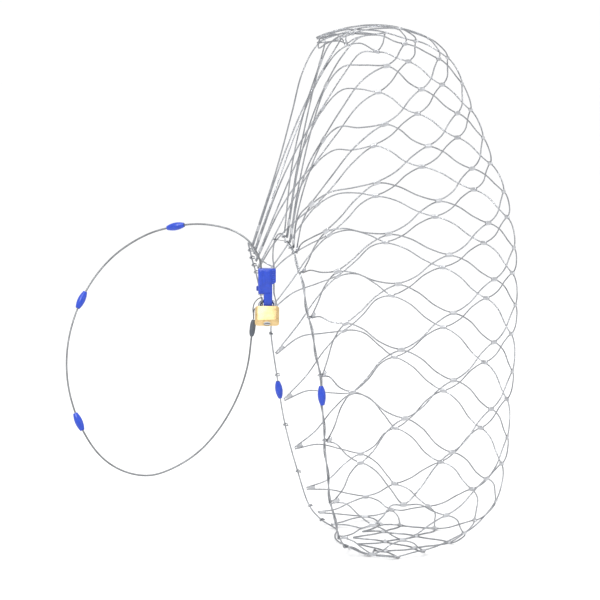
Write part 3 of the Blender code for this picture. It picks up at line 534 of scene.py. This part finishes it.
# the drawstring goes up through the cinch, down the near rim and back up the open part of the far rim;
# the gather cable draws up the rest of the far rim
def drawstringPoints():
    offset, openLevels = Vector(drawstring["rimOffset"]), drawstring["openLevels"]
    near, far = ([Vector(p) + offset for p in net[rim]] for rim in ("nearRim", "farRim"))
    x, y = cinch["pivot"].x + cinch["channelX"], cinch["pivot"].y
    low = cinch["pivot"].z + cinch["step"] - drawstring["below"] - cinch["travel"]
    high = cinch["pivot"].z + cinch["top"]
    heights = [low, (2 * low + high) / 3, (low + 2 * high) / 3, high + drawstring["above"]]
    route = [(x, y, z) for z in heights] + drawstring["hump"] + near[::-1]
    route += drawstring["foot"] + far[:openLevels] + drawstring["back"]
    beside = x - 2 * drawstring["radius"] - drawstring["gap"]
    gather = [(beside, y, high + drawstring["gatherAbove"])] + drawstring["gatherStart"]
    gather += far[:openLevels:-1] + [drawstring["gatherEnd"]]
    return shifted(route), shifted(gather)


rimEye = {"gap": 0.25 * mm, "start": 60, "end": 300, "steps": 9, "points": 22, "groove": 0.24}


# at each of a rim's points the strand's end turns round the nearest cable in a small eye
def buildRimEyes(cablePoints):
    meshes = []
    reach = drawstring["radius"] + net["wireRadius"] + rimEye["gap"]
    near = KDTree(len(cablePoints))
    for index, point in enumerate(cablePoints):
        near.insert(Vector(point) - netShift, index)
    near.balance()
    for rimName in ("nearRim", "farRim"):
        rim = net[rimName]
        for index, place in enumerate(rim[1:-1], 1):
            place = Vector(place)
            centre = near.find(place + Vector(drawstring["rimOffset"]))[0]
            along = (Vector(rim[index + 1]) - Vector(rim[index - 1])).normalized()
            out = (place - centre).normalized()
            out = (out - along * out.dot(along)).normalized()
            side = along.cross(out)
            points = [place + along * net["crimpOffset"]]
            for share in np.linspace(0, 1, rimEye["steps"]):
                angle = math.radians(rimEye["start"] + (rimEye["end"] - rimEye["start"]) * share)
                outward = out * math.cos(angle) + side * math.sin(angle)
                points.append(centre + outward * reach + along * net["crimpOffset"] * (1 - 2 * share))
            points.append(place - along * net["crimpOffset"])
            path = smoothCurve(shifted(points), rimEye["points"])
            path[:, 2] = np.maximum(path[:, 2], net["wireRadius"])
            meshes.append(ropeMesh("rim_eye", path, net["wireRadius"], net["layLength"], lobes=4,
                                   groove=rimEye["groove"]))
    settle(linked("rim_eyes", joinMeshes("rim_eyes", meshes), "strand"), "root", "net_strand")


stop = {"length": 28 * mm, "radius": 6 * mm, "play": 0.5 * mm, "chamfer": (0.4 * mm, 0.8 * mm),
        "lip": 1.3 * mm, "lipStep": 0.5 * mm, "fullness": 0.8, "steps": 16, "sides": 32, "seam": 1.025}


# an olive-shaped stop: full round middle, drawn-in ends with a lip, bored for its cable
def stopMesh(name, cableRadius):
    bore, half, (wide, deep) = cableRadius + stop["play"], stop["length"] / 2, stop["chamfer"]
    lip = bore + stop["lip"]
    end = [(bore, half - deep), (bore + wide, half), (lip, half)]
    profile = [(radius, -height) for radius, height in end]
    for t in np.linspace(-1, 1, stop["steps"] + 1)[1:-1]:
        swell = math.cos(t * math.pi / 2) ** stop["fullness"]
        profile.append((lip + (stop["radius"] - lip) * swell, t * (half - stop["lipStep"])))
    mesh = turnedMesh(name, profile + end[::-1], stop["sides"], 60)
    # the mould's parting line: a fine raised seam on two sides
    for v in mesh.vertices:
        if abs(v.co.y) < 0.05 * mm and abs(v.co.x) > bore + 1 * mm:
            v.co.x *= stop["seam"]
    return mesh


# a stop at a share of the path's length
def stopOn(name, path, share, cableRadius, body):
    index = int(share * (len(path) - 1))
    direction = Vector(path[index + 1]) - Vector(path[index - 1])
    mesh = stopMesh(name, cableRadius)
    mesh.transform(Matrix.Translation(path[index]) @ direction.to_track_quat("Z", "Y").to_matrix().to_4x4())
    return settle(linked(name + "_olive", mesh, "blue"), body, "blue_plastic", name)


# the same route in points close enough for a rope's lay
def denser(points, closed=False):
    return smoothCurve(points, int(runLength(points)[-1] / cables["step"]), closed)


def buildDrawstring():
    route, gather = drawstringPoints()
    coarse = smoothCurve(route, drawstring["points"], closed=True)
    path = denser(coarse, closed=True)
    # dead straight where the cinch slides along it
    channel = cinch["pivot"] + netShift + Vector((cinch["channelX"], 0, 0))
    low = channel.z + cinch["step"] - cinch["travel"] - drawstring["straightBelow"]
    high = channel.z + cinch["top"] + drawstring["straightAbove"]
    for point in path:
        if low < point[2] < high and abs(point[0] - channel.x) < drawstring["near"]:
            point[:2] = channel.xy
    mesh = ropeMesh("drawstring", path, drawstring["radius"], cables["lay"], closed=True)
    settle(linked("drawstring", mesh, "strand"), "root", "net_strand", "drawstring_cable")
    buildCompanion(path)
    for name, share in drawstring["stops"]:
        stopOn(name, coarse, share, drawstring["radius"], "root")
    gatherPath = denser(smoothCurve(gather, drawstring["gatherPoints"]))
    mesh = ropeMesh("gather", gatherPath, drawstring["radius"], cables["lay"])
    settle(linked("gather", mesh, "strand"), "root", "net_strand", "gather_cable")
    buildRimEyes([*path, *gatherPath])


companion = {"from": 0.462, "to": 0.035, "nearY": -0.028,       # its heights, and the y it stays in front of
             "radius": 0.85 * drawstring["radius"], "apart": 2.3 * mm, "twist": 70 * mm}


# the near rim's second strand, laid round the drawstring from the gather down to the foot
def buildCompanion(path):
    run, points = runLength(path), []
    for index in range(1, len(path) - 1):
        place = Vector(path[index])
        if place.y > companion["nearY"] or not companion["to"] < place.z < companion["from"]:
            continue
        along = (Vector(path[index + 1]) - Vector(path[index - 1])).normalized()
        side = along.cross(Vector((1, 0, 0))).normalized()
        angle = 2 * math.pi * run[index] / companion["twist"]
        out = side * math.cos(angle) + along.cross(side) * math.sin(angle)
        points.append(place + out * companion["apart"])
    mesh = ropeMesh("rim_companion", points, companion["radius"], cables["lay"])
    settle(linked("rim_companion", mesh, "strand"), "root", "net_strand")


# from its socket in the cinch, round the loop and into the sleeve that closes the eye
def buildLockingCable():
    mouth = cinch["pivot"] + Vector((cinch["socketX"], 0, cinch["top"]))
    depth = Vector((0, 0, cinch["socketDepth"]))
    top, bottom = sleeve["top"], sleeve["bottom"]
    along = (bottom - top).normalized()
    route = [mouth - depth, mouth - depth / 2, mouth] + lockingCable["loop"]
    route += [bottom + along * sleeve["lead"], bottom - along * sleeve["socket"]]
    coarse = smoothCurve(shifted(route), lockingCable["points"])
    path = denser(coarse)
    mesh = ropeMesh("locking_cable_rope", path, lockingCable["radius"], cables["lay"])
    cable = settle(linked("locking_cable_rope", mesh, "cable"), "cinch", "steel_cable", "locking_cable")
    pieces = [stopOn(f"cable_stop_{number}", coarse, share, lockingCable["radius"], "cinch")
              for number, share in enumerate(lockingCable["stops"], 1)]
    pieces.append(buildSleeve())
    pieces.append(buildEye(top, along))


sleeve = {"top": Vector((-0.1905, -0.0205, 0.3410)), "bottom": Vector((-0.1935, -0.0238, 0.3165)),
          "lead": 3 * mm, "socket": 9 * mm, "radius": 4.6 * mm, "length": 25 * mm, "play": 0.5 * mm,
          "chamfer": (0.5 * mm, 0.6 * mm), "steps": 48, "sides": 32, "ribbed": 0.6, "ribHeight": 0.16 * mm,
          "sunk": 0.2 * mm, "endShare": 0.62, "endBend": 3.2, "endStep": 0.4 * mm, "capShare": 0.5}


# ribbed grey sleeve that closes the eye
def buildSleeve():
    top, bottom, half, radius = sleeve["top"], sleeve["bottom"], sleeve["length"] / 2, sleeve["radius"]
    bore = lockingCable["radius"] + sleeve["play"]
    floor = sleeve["socket"] + sleeve["play"] - half
    wide, deep = sleeve["chamfer"]
    profile = [(0, floor), (bore, floor), (bore, deep - half), (bore + wide, -half)]
    for step in range(sleeve["steps"] + 1):
        t = 2 * step / sleeve["steps"] - 1
        rib = sleeve["ribHeight"] * math.cos(step * math.pi / 2) if abs(t) < sleeve["ribbed"] else 0
        full = sleeve["endShare"] + (1 - sleeve["endShare"]) * (1 - abs(t) ** sleeve["endBend"])
        profile.append((radius * full + rib - sleeve["sunk"], t * (half - sleeve["endStep"])))
    profile += [(radius * sleeve["capShare"], half), (0, half)]
    mesh = turnedMesh("sleeve", profile, sleeve["sides"], 50)
    turn = (top - bottom).to_track_quat("Z", "Y").to_matrix().to_4x4()
    mesh.transform(Matrix.Translation((top + bottom) / 2 + netShift) @ turn)
    return settle(linked("eye_sleeve_ribbed", mesh, "sleeve"), "cinch", "grey_sleeve", "eye_sleeve")


eye = {
    "radius": 0.95 * mm, "lay": 9 * mm, "points": 110, "footLength": 0.6 * mm, "halfGap": 1.3 * mm,
    "loop": [(-0.1909, -0.0190, 0.3490), (-0.1914, -0.0192, 0.3570), (-0.1893, -0.0190, 0.3655),
             (-0.1840, -0.0190, 0.3718), (-0.1783, -0.0200, 0.3742), (-0.1776, -0.0240, 0.3718),
             (-0.1774, -0.0253, 0.3675), (-0.1772, -0.0230, 0.3633), (-0.1776, -0.0180, 0.3625),
             (-0.1796, -0.0145, 0.3615), (-0.1845, -0.0143, 0.3597), (-0.1893, -0.0160, 0.3560),
             (-0.1903, -0.0207, 0.3485)],
}


# out of the sleeve, round the shackle's crown and back into the sleeve
def buildEye(top, along):
    foot = top - along * eye["footLength"]
    side = Vector((0, eye["halfGap"], 0))
    path = smoothCurve(shifted([foot + side, *eye["loop"], foot - side]), eye["points"])
    mesh = ropeMesh("eye", path, eye["radius"], eye["lay"])
    return settle(linked("eye_rope", mesh, "cable"), "cinch", "steel_cable", "cable_eye")


buildStrands()
print("strands laid")
buildFerrules()
print("ferrules placed")
buildDrawstring()
buildLockingCable()
print("cables run")


# raised panels on the housing, in mm from the pivot: left, right, low, high, how far proud, edge radius
cinchFace = {
    "halfDepth": 8 * mm, "sunk": 0.4 * mm,
    "front": [(-12.7, 5.9, 12.2, 48.0, 2.3, 2.1), (-4.7, 6.7, -6.6, 13.4, 1.6, 1.5),
              (-12.3, -5.2, 13.6, 47.4, 3.1, 2.9), (-3.6, 5.6, 20.5, 47.4, 3.0, 2.7)]
             + [(7.6, 12.2, 30.6 + 2.9 * n, 32.2 + 2.9 * n, 0.8, 0.7) for n in range(6)],
    "rear": [(-12.3, 12.0, 46.2, 47.8, 0.7, 0.6), (-12.3, 12.0, 30.4, 32.0, 0.7, 0.6),
             (-4.5, 6.5, -6.4, -0.6, 0.8, 0.7)],
}


# a box sunk a little into the shell, with its outer edges rounded; side is -1 at the front, 1 at the rear
def facePanel(bm, left, right, low, high, proud, radius, side):
    bottom, top = cinchFace["halfDepth"] - cinchFace["sunk"], cinchFace["halfDepth"] + proud * mm
    made = bmesh.ops.create_cube(bm, size=1)["verts"]
    bmesh.ops.scale(bm, vec=((right - left) * mm, top - bottom, (high - low) * mm), verts=made)
    centre = cinch["pivot"] + netShift + Vector(((left + right) / 2 * mm, side * (top + bottom) / 2,
                                                 (low + high) / 2 * mm))
    bmesh.ops.translate(bm, vec=centre, verts=made)
    outer = [e for e in {e for v in made for e in v.link_edges}
             if any((v.co.y - centre.y) * side > 0 for v in e.verts)]
    bmesh.ops.bevel(bm, geom=outer, offset=radius * mm, segments=5, affect="EDGES", profile=0.5, material=-1)


def buildCinch():
    for node in ("cinch_front_shell", "cinch_rear_shell"):
        softened(node, "blue", 0.35 * mm, "blue_plastic")
    softened("cinch_button", "button", 0.3 * mm, "blue_plastic")
    for node in ("cinch_cam", "cinch_cam_pin", "cinch_rivet_1", "cinch_rivet_2"):
        softened(node, "steel", 0.12 * mm, "hardened_steel", 2)
    for face, side in (("front", -1), ("rear", 1)):
        bm = bmesh.new()
        for panel in cinchFace[face]:
            facePanel(bm, *panel, side)
        name = f"cinch_{face}_ribs"
        settle(linked(name, finishMesh(meshFrom(bm, name), 40), "blue"), "cinch", "blue_plastic")


def buildPadlock():
    softened("padlock_body", "brass", 0.4 * mm, "brass")
    softened("padlock_shackle", "shackle", 0, "hardened_steel")
    softened("padlock_plug", "steel", 0.15 * mm, "hardened_steel", 2)


def three(kind):
    return [f"{kind}_{number}" for number in (1, 2, 3)]


# nodes that keep their CAD shape take their finish here
def paintInnerNodes():
    kept = {"brassInner": ["padlock_tail_cam", *three("key_pin"), *three("driver_pin")],
            "steel": ["cinch_spring", "cable_end_sleeve", "locking_ball_left", "locking_ball_right",
                      "shackle_spring", *three("pin_spring")]}
    for finish, nodes in kept.items():
        for node in nodes:
            data = frame["nodes"][node].data
            data.materials.clear()
            data.materials.append(finishes[finish])


buildCinch()
buildPadlock()
paintInnerNodes()
print("cinch and padlock finished")

studio = {
    "rings": (0, 0.4, 1.0, 2.5, 6.0, 16.0, 60.0), "tone": (0.825, 0.825, 0.827), "middle": (-0.1, 0, 0.35),
    # name, place, size and power
    "lamps": [("key", (-1.6, -2.2, 2.6), 1.0, 34), ("fill", (2.4, -1.6, 1.5), 1.6, 8),
              ("top", (0.2, 0.6, 3.4), 2.4, 14), ("rear", (0.8, 2.4, 2.6), 2.0, 12)],
    "sunPower": 0.75, "sunAngle": 35, "sunTurn": (28, 0, -20), "sky": 1.02,
}


# a round pale floor, wide enough to reach the horizon
def buildStage():
    mesh = turnedMesh("stage", [(radius, 0) for radius in studio["rings"]], 64)
    if mesh.polygons[0].normal.z < 0:
        mesh.flip_normals()
    paint = Paint("stagePaint", studio["tone"], 0.85)
    cloud = paint.noise(paint.place(), 1.3)
    paint.feed("Roughness", cloud * 0.1 + 0.8)
    mesh.materials.append(paint.material)
    stage = bpy.data.objects.new("stage", mesh)
    bpy.context.scene.collection.objects.link(stage)


def areaLight(name, place, size, power):
    light = bpy.data.lights.new(name, "AREA")
    light.shape = "DISK"
    light.size = size
    light.energy = power
    obj = bpy.data.objects.new(name, light)
    obj.location = place
    obj.rotation_euler = (Vector(studio["middle"]) - Vector(place)).to_track_quat("-Z", "Y").to_euler()
    bpy.context.scene.collection.objects.link(obj)


def buildLights():
    for lamp in studio["lamps"]:
        areaLight(*lamp)
    sun = bpy.data.lights.new("softSun", "SUN")
    sun.energy = studio["sunPower"]
    sun.angle = math.radians(studio["sunAngle"])
    sunObject = bpy.data.objects.new("softSun", sun)
    sunObject.rotation_euler = [math.radians(angle) for angle in studio["sunTurn"]]
    bpy.context.scene.collection.objects.link(sunObject)
    world = bpy.data.worlds.new("studio")
    world.use_nodes = True
    background = world.node_tree.nodes["Background"]
    background.inputs["Color"].default_value = (1, 1, 1, 1)
    background.inputs["Strength"].default_value = studio["sky"]
    bpy.context.scene.world = world
    bpy.context.scene.view_settings.view_transform = "Standard"


view = {"target": Vector((-0.1233, 0, 0.368)), "distance": 2.9, "elevation": math.radians(7),
        "lens": 116, "sensor": 36}


def buildCamera():
    data = bpy.data.cameras.new("camera")
    data.lens = view["lens"]
    data.sensor_width = view["sensor"]
    camera = bpy.data.objects.new("camera", data)
    back = Vector((0, -math.cos(view["elevation"]), math.sin(view["elevation"])))
    camera.location = view["target"] + back * view["distance"]
    camera.rotation_euler = (math.pi / 2 - view["elevation"], 0, 0)
    bpy.context.scene.collection.objects.link(camera)
    bpy.context.scene.camera = camera


buildStage()
buildLights()
buildCamera()
print("stage, lights and camera set")
